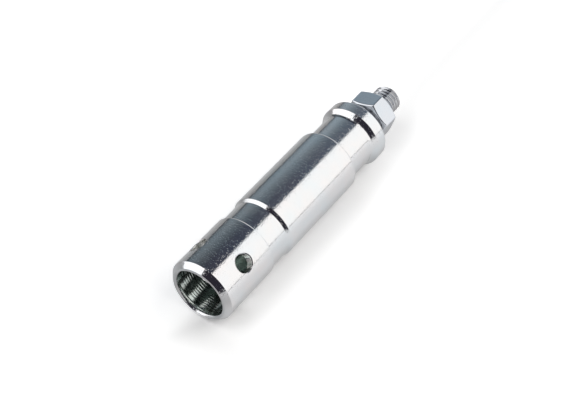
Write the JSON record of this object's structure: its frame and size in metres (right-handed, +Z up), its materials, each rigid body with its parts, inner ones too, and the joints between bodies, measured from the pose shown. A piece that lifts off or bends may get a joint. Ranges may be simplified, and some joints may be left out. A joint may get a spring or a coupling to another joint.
{
  "type": "stud-mounted spigot with socket end",
  "caption": "Turned zinc-plated steel spigot with a hollow cross-drilled socket end, two neck grooves, a bevelled collar and a threaded stud carrying a hex nut.",
  "frame": {"origin": "on the spigot's axis, halfway between the open end and the stud's tip, which is the centre of the bounding box", "axes": "+X along the axis from the open socket end to the stud's tip, +Z up with the spigot lying on its side; the cross holes are rolled 46 degrees from Z towards -Y and 44 degrees from Z towards +Y"},
  "size_m": [0.1328, 0.028, 0.028],
  "materials": {
    "body_zinc": "bright zinc plate over fine turning marks",
    "stud_zinc": "bright zinc plate on rolled threads",
    "nut_zinc": "bluish bright zinc plate"
  },
  "bodies": {
    "spigot": {"spigot_body": "body_zinc", "threaded_stud": "stud_zinc"},
    "nut": {"hex_nut": "nut_zinc"}
  },
  "joints": [
    {"name": "nut_spin", "type": "hinge", "parent": "spigot", "child": "nut", "pos_m": [0.05175, 0, 0], "axis": [1, 0, 0], "range_deg": [-840, 2100]}
  ]
}
